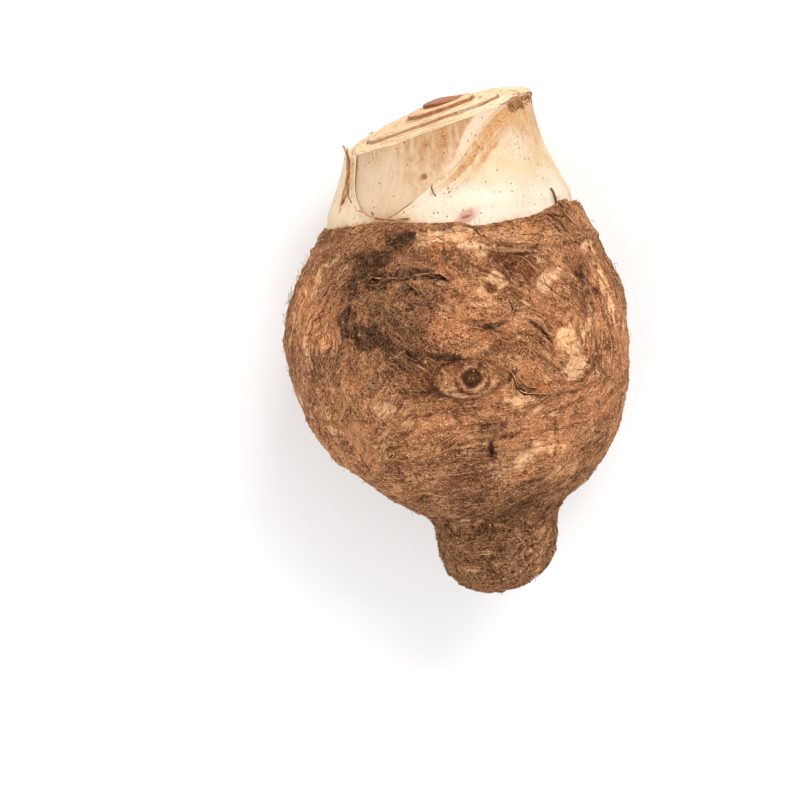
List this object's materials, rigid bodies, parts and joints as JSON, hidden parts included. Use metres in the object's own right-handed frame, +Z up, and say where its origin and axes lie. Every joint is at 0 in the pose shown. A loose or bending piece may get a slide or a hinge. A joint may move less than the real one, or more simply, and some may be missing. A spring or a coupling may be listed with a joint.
{
  "type": "taro root",
  "caption": "Whole taro corm with a small round foot and trimmed, nested leaf-stalk bases cut across by a knife, lying on its side.",
  "frame": {"origin": "on the table, under the middle of the root's outline, at the height of the flat on which the corm has settled", "axes": "+Z up from the table; +Y along the root's long axis towards the cut leaf stalks; +X to the right with the stalks pointing away"},
  "size_m": [0.12, 0.1754, 0.1184],
  "materials": {
    "taro_skin": "rough fibrous brown root skin",
    "outer_leaf": "satin ivory leaf base",
    "stalk_flesh": "satin cream leaf stalk",
    "inner_leaf": "moist peach leaf stalk",
    "heart_leaf": "moist reddish-brown young leaf"
  },
  "bodies": {
    "root": {"corm": "taro_skin", "outer_leaf": "outer_leaf", "second_leaf": "stalk_flesh", "third_leaf": "stalk_flesh", "fourth_leaf": "inner_leaf", "heart_leaf": "heart_leaf"}
  },
  "joints": []
}
